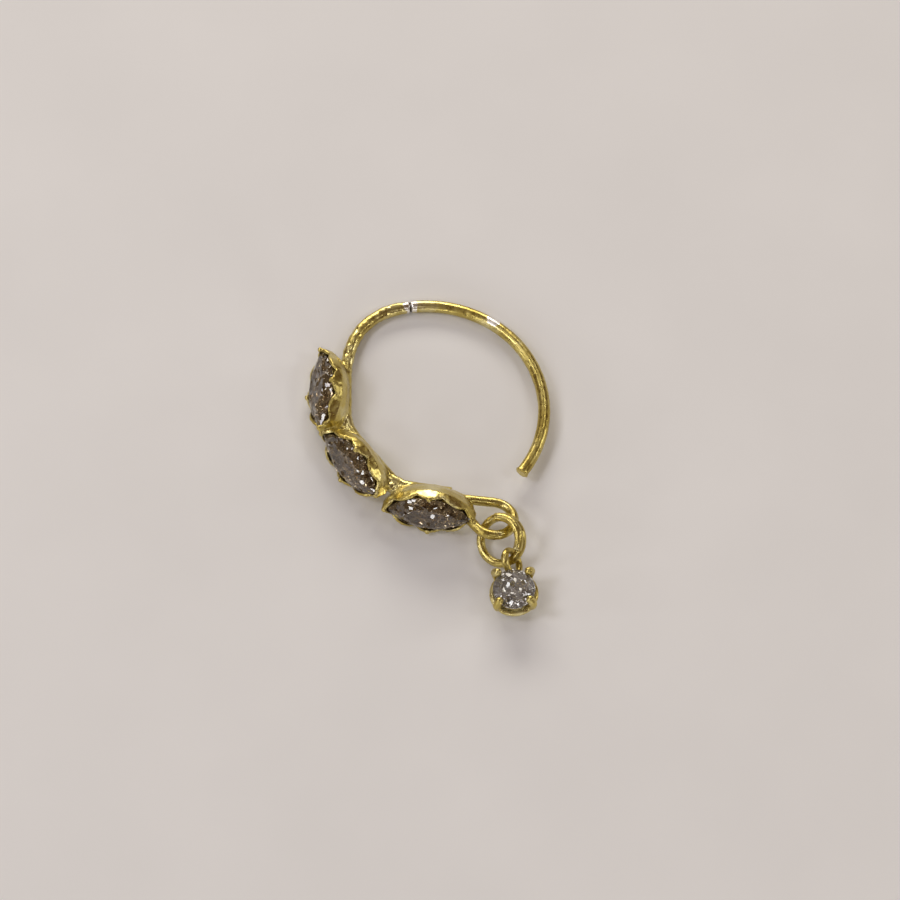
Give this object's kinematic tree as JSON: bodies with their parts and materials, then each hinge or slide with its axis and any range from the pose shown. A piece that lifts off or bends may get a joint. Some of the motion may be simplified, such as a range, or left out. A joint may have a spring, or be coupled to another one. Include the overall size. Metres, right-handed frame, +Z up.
{
  "type": "nose ring",
  "caption": "Open hoop nose ring with a row of marquise stones in scalloped collets along its lower side and a small round drop on a jump ring.",
  "frame": {"origin": "middle of the outline on the surface the ring lies on", "axes": "+Z up from the surface it lies on, +Y from the drop towards the top of the hoop, +X towards the wire's open tip"},
  "size_m": [0.0118, 0.0168, 0.0025],
  "materials": {
    "gold": "polished, lightly hammered and worn",
    "cut_stone": "faceted, dark foiled glint"
  },
  "bodies": {
    "root": {"ring_frame": "gold", "marquise_stone_upper": "cut_stone", "marquise_stone_middle": "cut_stone", "marquise_stone_lower": "cut_stone", "jump_ring": "gold", "drop_setting": "gold", "drop_stone": "cut_stone"}
  },
  "joints": []
}
